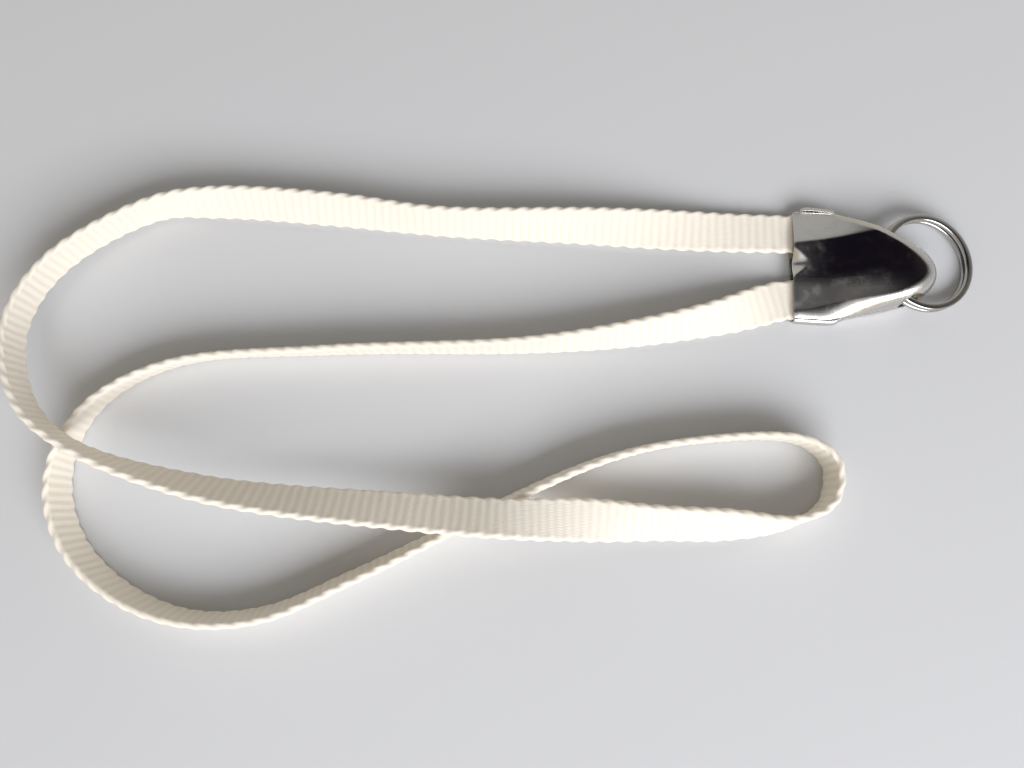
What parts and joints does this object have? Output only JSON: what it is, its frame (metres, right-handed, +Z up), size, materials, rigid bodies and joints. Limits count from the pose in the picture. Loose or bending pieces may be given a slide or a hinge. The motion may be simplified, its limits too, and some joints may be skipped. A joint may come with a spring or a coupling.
{
  "type": "neck lanyard",
  "caption": "Neck lanyard of flat ribbed webbing laid in loops, its ends held in a folded metal crimp clasp with a swinging split ring for a badge, key or whistle.",
  "frame": {"origin": "on the table, under the middle of the whole part as it lies", "axes": "+X along the clasp from its mouth to its nose and along the length of the lay, +Y away from the viewer across the lay, +Z up from the table"},
  "size_m": [0.2335, 0.1105, 0.0208],
  "materials": {
    "cream_webbing": "matt cream ribbed webbing with roped edges",
    "nickel_sheet": "bright nickel-plated sheet, satin round its edges",
    "nickel_wire": "bright nickel-plated spring wire"
  },
  "bodies": {
    "lanyard": {"webbing_strap": "cream_webbing", "crimp_clasp": "nickel_sheet"},
    "ring": {"split_ring": "nickel_wire"}
  },
  "joints": [
    {"name": "ring_swing", "type": "hinge", "parent": "lanyard", "child": "ring", "pos_m": [0.0975, 0.0408, 0.0052], "axis": [0, -1, 0], "range_deg": [-2, 40]}
  ]
}
